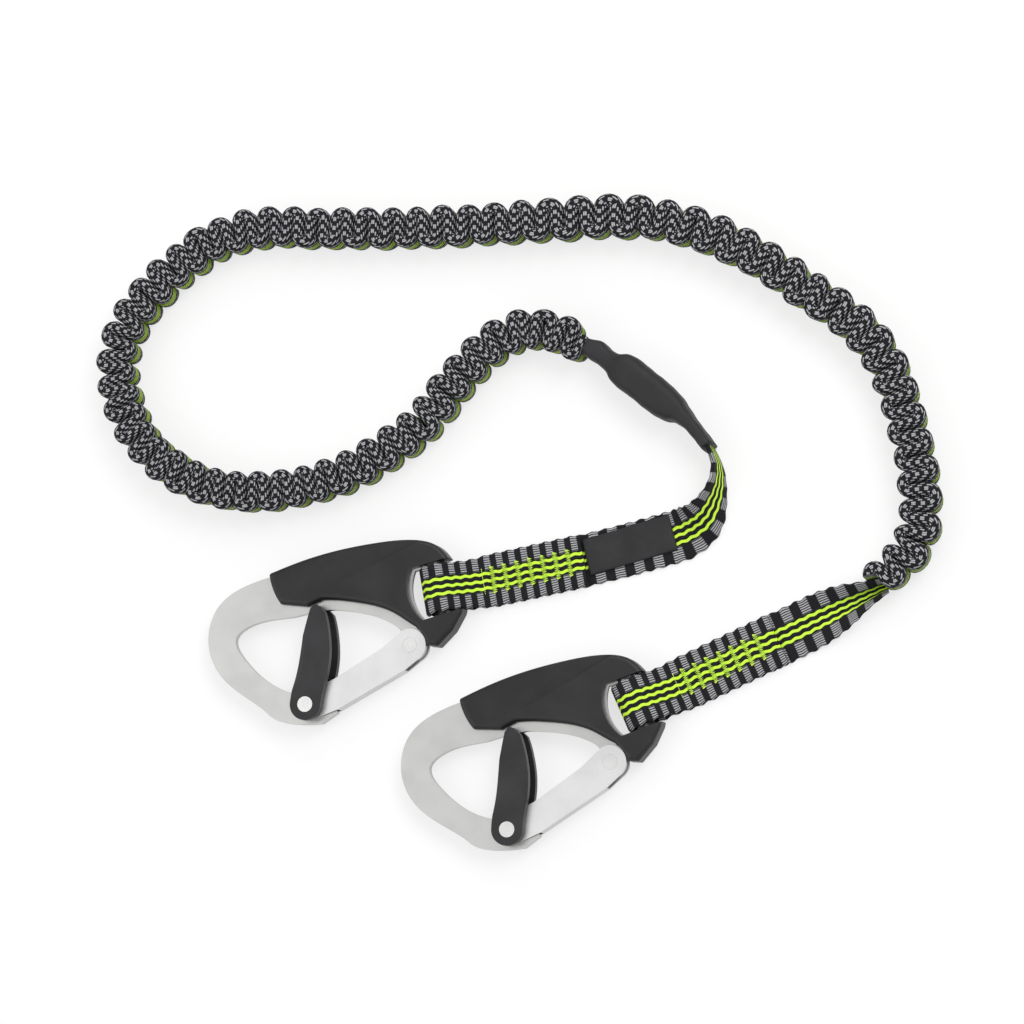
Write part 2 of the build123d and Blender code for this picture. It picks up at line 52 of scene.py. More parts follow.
# ---- stitching ----------------------------------------------------------------------
STITCH_START = 19.0 * MM
STITCH_PITCH = 6.3 * MM
STITCH_BARS = 8
STITCH_W = 12.6 * MM
STITCHES = 30                    # in a bar
BAR_SWING = 0.85 * MM            # half a bar's length along the strap
THIN_SWING = 0.1 * MM            # the same in the first row, a thin one
THIN_LATE = 1.2 * MM             # the first row starts this much further on
STITCH_STRAY = 0.1 * MM
THREAD_R = 0.5 * MM
THREAD_PROUD = 0.55              # share of its radius that a thread's middle stands proud

# ---- gathered elastic line ----------------------------------------------------------
LINE_Z = 10.7 * MM
ROUTE_STEPS = 24                 # read between two control points
GATHER_T = 5.7 * MM              # thickness of one gathered lobe
GATHER_H = 18.4 * MM
GATHER_STEPS = (4, 8)            # over a face, and round an edge
GATHER_LIFT = 0.2 * MM           # clear of the floor
GATHER_FILL = 1.94               # thickness over the lobe's turning radius
GATHER_TUCK = 0.20               # how much narrower the line is at its foot
GATHER_REACH = 10.5 * MM         # line's middle to a crest
GATHER_START = 2.0 * MM          # first lobe, from the route's start inside the sleeve
GATHER_STOP = 1.5 * MM           # room left after the last lobe
END_CLOSING = 55 * MM            # over this stretch the last lobes get smaller
END_REACH = 0.62                 # share of the reach that the last lobe keeps
PITCH_SPREAD = (0.95, 1.05)
REACH_SPREAD = (0.94, 1.0)
LEAN_SPREAD = (-5, 5)            # degrees
TURN_STEPS = 10
FLANK_STEPS = 4
# share of the length, lobe pitch in mm
GATHER_PITCH = [(0.0, 11.9), (0.45, 11.9), (0.58, 12.6), (0.66, 14.4), (0.78, 13.2), (1.0, 12.6)]
LINE_POINTS = [                  # mm
    (38.3, 76.5), (21.5, 86.2), (-0.7, 85.1), (-24.5, 64.5), (-44.0, 36.5),
    (-93.0, 11.0), (-150.0, 9.5), (-190.0, 38.0), (-202.0, 82.0), (-181.0, 114.0),
    (-140.0, 142.5), (-80.0, 137.0), (-4.0, 137.0), (64.0, 140.0), (106.5, 126.3),
    (146.0, 99.5), (180.0, 73.5), (195.0, 29.0), (200.5, -10.0), (190.0, -31.0), (173.5, -39.5),
]

# ---- sleeve, mm and degrees ----------------------------------------------------------
# x, y, heading, width, height
SLEEVE_STATIONS = [
    (37.5, 77.0, -28.0, 8.0, 17.0), (43.5, 74.4, -34.0, 10.5, 17.2), (47.5, 71.2, -40.0, 9.2, 17.2),
    (51.5, 68.2, -38.0, 11.0, 18.0), (56.5, 65.0, -38.0, 16.2, 19.2), (66.0, 57.6, -38.0, 16.6, 19.2),
    (76.0, 49.4, -38.5, 16.0, 19.2), (81.0, 45.6, -40.0, 13.4, 18.8), (84.6, 43.0, -43.0, 9.4, 18.2),
    (91.0, 36.2, -50.0, 6.6, 18.0), (97.8, 27.4, -56.0, 6.4, 17.6),
]
SLEEVE_STEPS = 90
SLEEVE_AROUND = 48
SLEEVE_LIFT = 0.1
SLEEVE_ROUND = 0.55              # 1 is an oval section, less is squarer
SLEEVE_WEAVE_R = 9 * MM          # run of its weave for each radian round
# depth, then radians for each mm along and over the half height
SLEEVE_DENTS = [(0.10, 0.42, 2.1), (0.07, 0.9, -3.2)]

# ---- straps beyond the loops, mm and degrees -----------------------------------------
# x, y, heading, lean from upright, width
LINK_STATIONS = [
    (93.5, 33.4, -50.0, 0.0, 16.0), (97.8, 27.4, -56.0, 0.0, 16.4), (101.8, 17.5, -76.0, 4.0, 17.6),
    (101.0, 6.0, -100.0, 20.0, 19.0), (95.6, -5.4, -128.0, 52.0, 21.5), (86.0, -11.6, -156.0, 80.0, 24.0),
    (76.0, -14.6, -165.5, 90.0, 25.0), (58.0, -19.2, -167.0, 90.0, 25.0),
]
LINK_STEPS = 140
LINK_END_STEPS = 8
LINK_LAP = 4 * MM                # the link ends this far inside clip A's sewn stretch
# distance from the eye bar, fold, width
TAPER_STATIONS = [(66.0, 0.0, 25.0), (84.0, 3.0, 25.0), (96.0, 14.0, 24.6), (108.0, 34.0, 23.5),
                  (118.0, 52.0, 21.5), (129.0, 64.0, 18.0)]
TAPER_STEPS = 110

# ---- label, mm and degrees -----------------------------------------------------------
LABEL_CENTRE = (58.6, -17.2)
LABEL_ANGLE = 15.4
LABEL_SIZE = (43.5, 17.4)
LABEL_STEPS = (44, 20)
LABEL_TOP = 3.7
LABEL_T = 0.45
LABEL_DROP = 0.45                # its edges turn down by this much
LABEL_EDGE = 0.8                 # within about this far of the edge
LABEL_SWELL = 0.1                # slow waves over its face
LABEL_WAVES = (0.32, 0.25)       # radians for each mm

# ---- weave of the webbing, mm --------------------------------------------------------
FLOAT_ROW_PITCH = 1.1
FLOAT_ROW_EDGE = (0.16, 0.40)    # a row's full and empty places, share of its pitch from its middle
FLOAT_BLOCK_SOFT = 0.03          # share of a block
FLOAT_ZONE_EDGE = (0.25, 0.6)    # floats begin this far outside the lime lines
LIME_PITCHES = 1.36              # pitches of the lime lines in half of their width
LIME_WAVE = 5.0                  # length of a wave
LIME_SWAY = 0.075                # a wave's height, share of the lines' pitch
LIME_EDGE = (0.17, 0.24)         # a line's full and empty places, share of their pitch
LIME_ZONE_SOFT = 0.15
WEFT_PITCH = 0.95
WARP_PITCH = 0.82

# ---- colours ------------------------------------------------------------------------
LIME = (0.58, 0.88, 0.06, 1)
THREAD_DARK = (0.46, 0.74, 0.04, 1)
THREAD_LIGHT = (0.66, 0.94, 0.09, 1)
BLACK_YARN = (0.006, 0.006, 0.008, 1)
# the black yarn's crowns, painted lighter: a painted highlight
BLACK_CROWN_HIGHLIGHT = (0.020, 0.020, 0.023, 1)
GREY_YARN = (0.40, 0.40, 0.42, 1)
WHITE = (1, 1, 1, 1)

# ---- view and light -----------------------------------------------------------------
TILT = 17.5                      # degrees between the view and straight down
TILT_WAY = (0.8829, -0.4695)     # the side in plan that the camera stands on
VIEW_DISTANCE = 1.85
VIEW_WIDTH = 0.4876
SENSOR = 36.0                    # mm
LAMP_TARGET = (0, 0.05, 0)
# name, place, size, power
LAMPS = [
    ("key", (0.9, 0.7, 1.5), 0.9, 17.0),
    ("fill", (-1.1, -0.5, 1.3), 1.4, 8.0),
    ("back", (0.1, 1.3, 0.9), 1.0, 6.0),
]
WORLD_LIGHT = 0.62
FLOOR_HALF = 3.0
FLOOR_COLOUR = (0.86, 0.86, 0.86, 1)
FLOOR_ROUGH = 0.9
FLOOR_SHADOW = 0.3               # share of the floor's own shading that the camera sees

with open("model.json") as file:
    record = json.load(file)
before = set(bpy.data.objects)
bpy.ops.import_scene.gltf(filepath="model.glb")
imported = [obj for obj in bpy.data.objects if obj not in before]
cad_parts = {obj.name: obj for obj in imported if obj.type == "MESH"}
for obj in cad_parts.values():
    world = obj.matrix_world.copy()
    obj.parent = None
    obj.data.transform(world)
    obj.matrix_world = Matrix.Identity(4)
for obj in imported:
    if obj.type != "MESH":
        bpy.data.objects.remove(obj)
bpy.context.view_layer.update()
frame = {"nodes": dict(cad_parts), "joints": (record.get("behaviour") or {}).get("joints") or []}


# ---- places and view ----------------------------------------------------------------
def spot(x, y, z=0.0):
    """A place given in mm before PLAN_SHIFT, in metres."""
    return Vector(((x + PLAN_SHIFT[0]) * MM, (y + PLAN_SHIFT[1]) * MM, z * MM))


def way_and_left(heading):
    """The direction in plan with that heading in degrees, and the one to its left."""
    turn = math.radians(heading)
    way = Vector((math.cos(turn), math.sin(turn), 0))
    return way, Vector((-way.y, way.x, 0))


def add_camera():
    tilt = math.radians(TILT)
    camera = bpy.data.objects.new("camera", bpy.data.cameras.new("camera"))
    bpy.context.scene.collection.objects.link(camera)
    back = Vector((TILT_WAY[0] * math.sin(tilt), TILT_WAY[1] * math.sin(tilt), math.cos(tilt)))
    turn = Matrix.Rotation(tilt, 4, Vector((-TILT_WAY[1], TILT_WAY[0], 0)))
    camera.matrix_world = Matrix.Translation(spot(0, 0) + back * VIEW_DISTANCE) @ turn
    camera.data.lens = SENSOR * VIEW_DISTANCE / VIEW_WIDTH
    camera.data.sensor_width = SENSOR
    bpy.context.scene.camera = camera


def add_lamp(name, place, size, power):
    data = bpy.data.lights.new(name, "AREA")
    data.size = size
    data.energy = power
    lamp = bpy.data.objects.new(name, data)
    lamp.location = place
    lamp.rotation_euler = (Vector(LAMP_TARGET) - Vector(place)).to_track_quat("-Z", "Y").to_euler()
    bpy.context.scene.collection.objects.link(lamp)


# ---- shader helpers -----------------------------------------------------------------
def feed(tree, value, socket):
    """Links a socket to another, or sets it to a constant."""
    if isinstance(value, bpy.types.NodeSocket):
        tree.links.new(value, socket)
    else:
        socket.default_value = value


def calc(tree, operation, *values):
    node = tree.nodes.new("ShaderNodeMath")
    node.operation = operation
    for value, socket in zip(values, node.inputs):
        feed(tree, value, socket)
    return node.outputs[0]


def soft_step(tree, value, low, high, start=0.0, end=1.0):
    node = tree.nodes.new("ShaderNodeMapRange")
    node.interpolation_type = "SMOOTHSTEP"
    for number, socket in zip((value, low, high, start, end), node.inputs):
        feed(tree, number, socket)
    return node.outputs[0]


def ripple(tree, value, length):
    """A sine wave over value, one wave to each length."""
    return calc(tree, "SINE", calc(tree, "MULTIPLY", value, 2 * math.pi / length))


def from_middle(tree, cycles):
    """How far a count of cycles is from the middle of its cycle, 0 to 0.5."""
    return calc(tree, "ABSOLUTE", calc(tree, "SUBTRACT", calc(tree, "FRACT", cycles), 0.5))


def mix(tree, share, first, second):
    node = tree.nodes.new("ShaderNodeMix")
    node.data_type = "RGBA"
    feed(tree, share, node.inputs["Factor"])
    feed(tree, first, node.inputs[6])
    feed(tree, second, node.inputs[7])
    return node.outputs[2]


def noise(tree, scale, detail, stretch=(1, 1, 1)):
    """Noise in the object's own space, scale in cycles a metre."""
    place = tree.nodes.new("ShaderNodeTexCoord").outputs["Object"]
    mapping = tree.nodes.new("ShaderNodeMapping")
    mapping.inputs["Scale"].default_value = stretch
    tree.links.new(place, mapping.inputs["Vector"])
    node = tree.nodes.new("ShaderNodeTexNoise")
    node.inputs["Scale"].default_value = scale
    node.inputs["Detail"].default_value = detail
    tree.links.new(mapping.outputs[0], node.inputs["Vector"])
    return node.outputs["Fac"]


def weave_place(tree):
    """A piece's own woven coordinates: along and across, in metres."""
    coordinates = tree.nodes.new("ShaderNodeUVMap")
    coordinates.uv_map = "weave"
    split = tree.nodes.new("ShaderNodeSeparateXYZ")
    tree.links.new(coordinates.outputs[0], split.inputs[0])
    return split.outputs[0], split.outputs[1]


def bump(tree, height, shader, strength, distance):
    node = tree.nodes.new("ShaderNodeBump")
    node.inputs["Strength"].default_value = strength
    node.inputs["Distance"].default_value = distance
    tree.links.new(height, node.inputs["Height"])
    tree.links.new(node.outputs[0], shader.inputs["Normal"])


def roughen(tree, shader, texture, share, rough):
    """Roughness that rises from rough by a share of the texture."""
    added = calc(tree, "ADD", calc(tree, "MULTIPLY", texture, share), rough)
    feed(tree, added, shader.inputs["Roughness"])


def new_material(name):
    material = bpy.data.materials.new(name)
    material.use_nodes = True
    return material, material.node_tree, material.node_tree.nodes["Principled BSDF"]


# ---- materials ----------------------------------------------------------------------
def satin_steel(name, tint, rough):
    """Satin sheet steel: fine grain, and broad patches a tenth darker."""
    material, tree, shader = new_material(name)
    fine = noise(tree, scale=2600, detail=4, stretch=(1, 1, 0.2))
    broad = noise(tree, scale=60, detail=3)
    darker = [channel * 0.9 for channel in tint] + [1]
    feed(tree, mix(tree, soft_step(tree, broad, 0.3, 0.7), darker, [*tint, 1]), shader.inputs["Base Color"])
    shader.inputs["Metallic"].default_value = 1.0
    roughen(tree, shader, fine, share=0.16, rough=rough)
    bump(tree, calc(tree, "ADD", fine, broad), shader, strength=0.12, distance=0.1 * MM)
    return material


def moulded(name, dark, light, rough, grain_scale, grain_strength):
    """Moulded plastic: fine spark-eroded grain, and slow changes of sheen."""
    material, tree, shader = new_material(name)
    grains = noise(tree, scale=grain_scale, detail=2)
    broad = noise(tree, scale=45, detail=4)
    feed(tree, mix(tree, soft_step(tree, broad, 0.35, 0.75), dark, light), shader.inputs["Base Color"])
    shader.inputs["Specular IOR Level"].default_value = 0.32
    roughen(tree, shader, calc(tree, "ADD", grains, broad), share=0.16, rough=rough)
    bump(tree, grains, shader, strength=grain_strength, distance=0.15 * MM)
    return material


def webbing_material(name, block, lag_step=0.0, share=0.25, lime_half=4.75):
    """Woven webbing: black ground, three wavy lime lines, grey floats outside them.
    block is the floats' pitch along, share half of what they fill of it, lag_step
    how far each row lags behind its neighbour, lime_half the lines' half width, mm."""
    material, tree, shader = new_material(name)
    along, across = (calc(tree, "DIVIDE", metres, MM) for metres in weave_place(tree))
    outward = calc(tree, "ABSOLUTE", across)

    rows = calc(tree, "DIVIDE", outward, FLOAT_ROW_PITCH)
    row_shape = soft_step(tree, from_middle(tree, rows), *FLOAT_ROW_EDGE, 1.0, 0.0)
    lag = calc(tree, "MULTIPLY", calc(tree, "FLOOR", rows), lag_step)
    blocks = calc(tree, "DIVIDE", calc(tree, "ADD", along, lag), block)
    block_edge = (share - FLOAT_BLOCK_SOFT, share + FLOAT_BLOCK_SOFT)
    block_shape = soft_step(tree, from_middle(tree, blocks), *block_edge, 1.0, 0.0)
    zone = soft_step(tree, outward, *(lime_half + edge for edge in FLOAT_ZONE_EDGE))
    floats = calc(tree, "MULTIPLY", calc(tree, "MULTIPLY", row_shape, block_shape), zone)

    line_pitch = lime_half / LIME_PITCHES
    sway = calc(tree, "MULTIPLY", ripple(tree, along, LIME_WAVE), line_pitch * LIME_SWAY)
    waved = calc(tree, "DIVIDE", calc(tree, "ADD", across, sway), line_pitch)
    # half a cycle on, so that a line lies on the webbing's middle
    from_line = from_middle(tree, calc(tree, "ADD", waved, 0.5))
    line_shape = soft_step(tree, from_line, *LIME_EDGE, 1.0, 0.0)
    middle = soft_step(tree, outward, lime_half - LIME_ZONE_SOFT, lime_half + LIME_ZONE_SOFT, 1.0, 0.0)
    lines = calc(tree, "MULTIPLY", line_shape, middle)

    ground = calc(tree, "MULTIPLY", ripple(tree, along, WEFT_PITCH), ripple(tree, across, WARP_PITCH))
    fuzz = noise(tree, scale=1500, detail=3)
    # the weave's crowns are painted lighter than the black yarn, a painted highlight
    dark = mix(tree, soft_step(tree, ground, -0.2, 1.0), BLACK_YARN, BLACK_CROWN_HIGHLIGHT)
    cover = calc(tree, "MULTIPLY", floats, soft_step(tree, fuzz, 0.1, 0.5, 0.72, 1.0))
    feed(tree, mix(tree, lines, mix(tree, cover, dark, GREY_YARN), LIME), shader.inputs["Base Color"])
    shader.inputs["Roughness"].default_value = 0.72
    shader.inputs["Specular IOR Level"].default_value = 0.12
    shader.inputs["Sheen Weight"].default_value = 0.02

    relief = calc(tree, "ADD", calc(tree, "MULTIPLY", ground, 0.22), calc(tree, "MULTIPLY", fuzz, 0.35))
    relief = calc(tree, "ADD", relief, calc(tree, "MULTIPLY", calc(tree, "ADD", floats, lines), 0.7))
    bump(tree, relief, shader, strength=0.75, distance=0.45 * MM)
    return material


def thread_material():
    material, tree, shader = new_material("lime_thread")
    twist = noise(tree, scale=2400, detail=2, stretch=(1, 0.4, 1))
    colour = mix(tree, soft_step(tree, twist, 0.3, 0.7), THREAD_DARK, THREAD_LIGHT)
    feed(tree, colour, shader.inputs["Base Color"])
    shader.inputs["Roughness"].default_value = 0.55
    shader.inputs["Sheen Weight"].default_value = 0.2
    bump(tree, twist, shader, strength=0.5, distance=0.2 * MM)
    return material


def cloth_material(name, dark, light, pitch, rough):
    """Plain black cloth, its weave from the piece's own coordinates."""
    material, tree, shader = new_material(name)
    weave = calc(tree, "MULTIPLY", *(ripple(tree, metres, pitch) for metres in weave_place(tree)))
    broad = noise(tree, scale=70, detail=4)
    # the weave's ripple paints its yarns' crowns lighter, a painted highlight; the broad noise is tone at
    # random
    shade = calc(tree, "ADD", calc(tree, "MULTIPLY", weave, 0.25), broad)
    feed(tree, mix(tree, soft_step(tree, shade, 0.2, 0.9), dark, light), shader.inputs["Base Color"])
    roughen(tree, shader, broad, share=0.15, rough=rough)
    shader.inputs["Specular IOR Level"].default_value = 0.28
    bump(tree, shade, shader, strength=0.35, distance=0.2 * MM)
    return material


# ---- mesh helpers -------------------------------------------------------------------
def add_piece(name, mesh, material):
    """A smooth object in one material, which rides on the line."""
    mesh.materials.clear()
    mesh.materials.append(material)
    mesh.polygons.foreach_set("use_smooth", [True] * len(mesh.polygons))
    mesh.update()
    piece = bpy.data.objects.new(name, mesh)
    bpy.context.scene.collection.objects.link(piece)
    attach(piece, "line")
    return piece


def skin(name, rings, weaves, material):
    """A closed skin through rings of points. weaves holds each point's U and V."""
    count, around = len(rings), len(rings[0])
    points = [tuple(point) for ring in rings for point in ring]
    faces = []
    for i in range(count - 1):
        for j in range(around):
            k = (j + 1) % around
            faces.append((i * around + j, (i + 1) * around + j, (i + 1) * around + k, i * around + k))
    faces.append(tuple(range(around)))
    faces.append(tuple((count - 1) * around + j for j in reversed(range(around))))
    mesh = bpy.data.meshes.new(name)
    mesh.from_pydata(points, [], faces)
    corners = np.zeros(len(mesh.loops), np.int32)
    mesh.loops.foreach_get("vertex_index", corners)
    flat = np.array([weave for ring in weaves for weave in ring], np.float32)
    layer = mesh.uv_layers.new(name="weave")
    layer.data.foreach_set("uv", flat[corners].ravel())
    return add_piece(name, mesh, material)


def mesh_of(curve):
    """The mesh that a curve makes."""
    guide = bpy.data.objects.new("guide", curve)
    bpy.context.scene.collection.objects.link(guide)
    bpy.context.view_layer.update()
    mesh = bpy.data.meshes.new_from_object(guide)
    bpy.data.objects.remove(guide)
    return mesh


def webbing_section(width, thickness, face_steps, edge_steps):
    """Points round a webbing: across, through, and V, from one selvedge round to it."""
    half = thickness / 2
    flat = width / 2 - half
    points = []
    for hand in (1, -1):
        for i in range(face_steps + 1):
            across = hand * (-flat + 2 * flat * i / face_steps)
            points.append((across, hand * half, across))
        for i in range(1, edge_steps):
            turn = math.pi * i / edge_steps
            rise = min(turn, math.pi - turn) * half
            across = hand * (flat + half * math.sin(turn))
            points.append((across, hand * half * math.cos(turn), hand * (flat + rise)))
    return points


def strap(name, stations, material):
    """Webbing through stations: middle, across and through directions, width, fold.
    The fold lifts both halves by that angle, so the strap closes like a book."""
    rings, weaves = [], []
    travelled = 0.0
    for i, (middle, across_way, through_way, width, fold) in enumerate(stations):
        if i:
            travelled += (middle - stations[i - 1][0]).length
        section = webbing_section(width, STRAP_T, *STRAP_STEPS)
        bulge = SELVEDGE_BULGE * math.sin(2 * math.pi * travelled / SELVEDGE_PITCH)
        ring = []
        for across, through, _ in section:
            across += bulge * (across / (width / 2)) ** 5
            lift = fold * math.tanh(abs(across) / (width * FOLD_REACH))
            aside = across * math.cos(lift) - math.copysign(through, across) * math.sin(lift)
            up = abs(across) * math.sin(lift) + through * math.cos(lift)
            ring.append(middle + across_way * aside + through_way * up)
        rings.append(ring)
        weaves.append([(travelled, v) for _, _, v in section])
    return skin(name, rings, weaves, material)


def eased(rows, steps):
    """Rows of numbers, made denser by a smooth curve that keeps to them."""
    rows = np.array(rows, float)
    dense = []
    for at in np.linspace(0, len(rows) - 1, steps):
        i = min(int(at), len(rows) - 2)
        t = at - i
        before, after = rows[max(i - 1, 0)], rows[min(i + 2, len(rows) - 1)]
        first, second = rows[i], rows[i + 1]
        slope_1 = (second - before) / (2 if i else 1)
        slope_2 = (after - first) / (2 if i + 2 < len(rows) else 1)
        dense.append((2 * t ** 3 - 3 * t ** 2 + 1) * first + (t ** 3 - 2 * t ** 2 + t) * slope_1
                     + (3 * t ** 2 - 2 * t ** 3) * second + (t ** 3 - t ** 2) * slope_2)
    return dense


# ---- gathered elastic line ----------------------------------------------------------
def line_centre():
    """Points read along the line's route, a smooth curve with those control points."""
    curve = bpy.data.curves.new("route", "CURVE")
    curve.dimensions = "3D"
    curve.resolution_u = ROUTE_STEPS
    spline = curve.splines.new("NURBS")
    spline.points.add(len(LINE_POINTS) - 1)
    for point, (x, y) in zip(spline.points, LINE_POINTS):
        point.co = (*spot(x, y).xy, LINE_Z, 1)
    spline.order_u = 3
    spline.use_endpoint_u = True
    mesh = mesh_of(curve)
    points = np.array([vertex.co for vertex in mesh.vertices])
    bpy.data.meshes.remove(mesh)
    return points


def meander(length):
    """The gathered webbing's own line, as rows of its place along the route and aside
    from it, heading, distance travelled, lean, and the radius of its lobe."""
    chance = random.Random(7)
    shares, pitches = zip(*GATHER_PITCH)
    rows = []
    at, side, travelled = GATHER_START, 1, 0.0
    while True:
        pitch = float(np.interp(at / length, shares, pitches)) * MM * chance.uniform(*PITCH_SPREAD)
        radius = pitch / 4
        if at + 2 * radius > length - GATHER_STOP:
            return rows
        closing = min(1.0, END_REACH + (length - at) / END_CLOSING)
        reach = GATHER_REACH * closing * chance.uniform(*REACH_SPREAD) - GATHER_T / 2
        straight = reach - radius
        lean = math.radians(chance.uniform(*LEAN_SPREAD))
        for i in range(FLANK_STEPS):
            share = i / FLANK_STEPS
            rows.append((at, side * straight * (2 * share - 1), side * math.pi / 2,
                         travelled + 2 * straight * share, lean, radius))
        travelled += 2 * straight
        for i in range(TURN_STEPS):
            turn = math.pi * i / TURN_STEPS
            rows.append((at + radius * (1 - math.cos(turn)), side * (straight + radius * math.sin(turn)),
                         side * (math.pi / 2 - turn), travelled + radius * turn, lean, radius))
        travelled += radius * math.pi
        at += 2 * radius
        side = -side


def add_elastic_line(material):
    """The gathered webbing, standing on its edge and meandering along the route."""
    centre = line_centre()
    steps = np.linalg.norm(np.diff(centre, axis=0), axis=1)
    runs = np.concatenate([[0], np.cumsum(steps)])
    length = runs[-1]
    ways = np.gradient(centre, axis=0)
    ways /= np.linalg.norm(ways, axis=1)[:, None]
    section = webbing_section(GATHER_H, GATHER_T, *GATHER_STEPS)
    rings, weaves = [], []
    for at, sideways, heading, travelled, lean, radius in meander(length):
        swell = GATHER_FILL * radius / GATHER_T
        ring = []
        for across, through, _ in section:
            through *= swell
            along = at - (through + across * math.tan(lean)) * math.sin(heading)
            tuck = 1 - GATHER_TUCK * (0.5 - across / GATHER_H)
            offset = (sideways + through * math.cos(heading)) * tuck
            x, y = (np.interp(along, runs, centre[:, i]) for i in (0, 1))
            dx, dy = (np.interp(along, runs, ways[:, i]) for i in (0, 1))
            ring.append((x - dy * offset, y + dx * offset, GATHER_H / 2 + across + GATHER_LIFT))
        rings.append(ring)
        weaves.append([(travelled, v) for _, _, v in section])
    piece = skin("gathered_line", rings, weaves, material)
    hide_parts("elastic_webbing", "elastic_core")


# ---- sewn loops and stitching -------------------------------------------------------
def eye_place(side):
    """The place on the floor under the eye bar, and the directions along and across the strap."""
    swing = next(joint for joint in frame["joints"] if joint["name"] == f"hook_swing_{side}")
    bar = Vector(swing["axis"]).normalized()
    x, y, _ = swing["pos_m"]
    return Vector((x, y, 0)), Vector((bar.y, -bar.x, 0)), bar


def loop_profile(sewn_end):
    """Along and up, round the eye bar: bottom layer, loop, and top layer sewn down."""
    bottom, top = STRAP_T / 2, STRAP_T * 1.5
    middle = bottom + LOOP_R
    points = [(sewn_end * (1 - i / LAYER_STEPS), bottom) for i in range(LAYER_STEPS)]
    for i in range(LOOP_STEPS + 1):
        turn = math.radians(-90 - LOOP_TURN * i / LOOP_STEPS)
        points.append((LOOP_R * math.cos(turn), middle + LOOP_R * math.sin(turn)))
    # off the loop at 45 degrees, and bending gently into the sewn stretch
    leave = points[-1]
    corner = (leave[0] + leave[1] - top, top)
    landing = (corner[0] + FOOT_RUN, top)
    for i in range(1, FOOT_STEPS + 1):
        t = i / FOOT_STEPS
        pulls = list(zip(((1 - t) ** 2, 2 * t * (1 - t), t ** 2), (leave, corner, landing)))
        points.append(tuple(sum(share * place[k] for share, place in pulls) for k in (0, 1)))
    for i in range(1, LAYER_STEPS + 1):
        points.append((landing[0] + (sewn_end - landing[0]) * i / LAYER_STEPS, top))
    return points


def add_loop(side, material):
    eye, along_way, bar = eye_place(side)
    profile = loop_profile(SEWN_END[side])
    stations = []
    for i, (along, up) in enumerate(profile):
        before, after = profile[max(i - 1, 0)], profile[min(i + 1, len(profile) - 1)]
        run = Vector((after[0] - before[0], after[1] - before[1])).normalized()
        width = np.interp(along, (EYE_STRAIGHT, STRAP_FULL), (EYE_STRAP_W, STRAP_W))
        through = along_way * -run.y + UP * run.x
        stations.append((eye + along_way * along + UP * up, bar, through, float(width), 0.0))
    piece = strap(f"sewn_loop_{side}", stations, material)
    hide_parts(f"webbing_loop_{side}")


def add_stitching(side, material):
    """Rows of zigzag stitches across the sewn stretch, the one nearest the eye thin."""
    eye, along_way, bar = eye_place(side)
    curve = bpy.data.curves.new(f"stitching_{side}", "CURVE")
    curve.dimensions = "3D"
    curve.bevel_depth = THREAD_R
    curve.bevel_resolution = 1
    face = eye + UP * (2 * STRAP_T + THREAD_R * THREAD_PROUD)
    chance = random.Random(3)
    for row in range(STITCH_BARS):
        start = STITCH_START + row * STITCH_PITCH + (0 if row else THIN_LATE)
        swing = BAR_SWING if row else THIN_SWING
        spline = curve.splines.new("POLY")
        spline.points.add(STITCHES)
        for i in range(STITCHES + 1):
            along = start + (swing if i % 2 else -swing) + chance.uniform(-STITCH_STRAY, STITCH_STRAY)
            across = STITCH_W * (i / STITCHES - 0.5)
            spline.points[i].co = (*(face + along_way * along + bar * across), 1)
    piece = add_piece(f"zigzag_{side}", mesh_of(curve), material)
    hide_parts(f"stitching_{side}")


# ---- plain straps, sleeve and label --------------------------------------------------
def add_strap_b(material):
    """The single webbing beyond clip B's sewn stretch, closing up into the line's end."""
    eye, along_way, bar = eye_place("b")
    stations = []
    for along, fold, width in eased(TAPER_STATIONS, TAPER_STEPS):
        middle = eye + UP * (STRAP_T / 2) + along_way * along * MM
        stations.append((middle, bar, UP, width * MM, math.radians(max(fold, 0))))
    piece = strap("strap_to_clip_b", stations, material)
    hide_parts("strap_b")


def add_link(material):
    """The webbing from the sleeve to clip A: upright at the sleeve, then turning flat."""
    eye, along_way, bar = eye_place("a")
    stations = []
    for x, y, heading, lean, width in eased(LINK_STATIONS, LINK_STEPS):
        way, left = way_and_left(heading)
        turn = math.radians(lean)
        across = UP * math.cos(turn) - left * math.sin(turn)
        middle = spot(x, y)
        middle.z = width * MM / 2 * abs(math.cos(turn)) + STRAP_T / 2 * abs(math.sin(turn))
        stations.append((middle, across, across.cross(way), width * MM, 0.0))
    # on to the end of clip A's sewn stretch
    last_middle, last_across, last_through = stations[-1][:3]
    end = eye + UP * (STRAP_T / 2) + along_way * (SEWN_END["a"] - LINK_LAP)
    for i in range(1, LINK_END_STEPS + 1):
        share = i / LINK_END_STEPS
        across = last_across.lerp(bar, share).normalized()
        stations.append((last_middle.lerp(end, share), across, last_through, STRAP_W, 0.0))
    piece = strap("link_strap", stations, material)
    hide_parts("link_webbing")


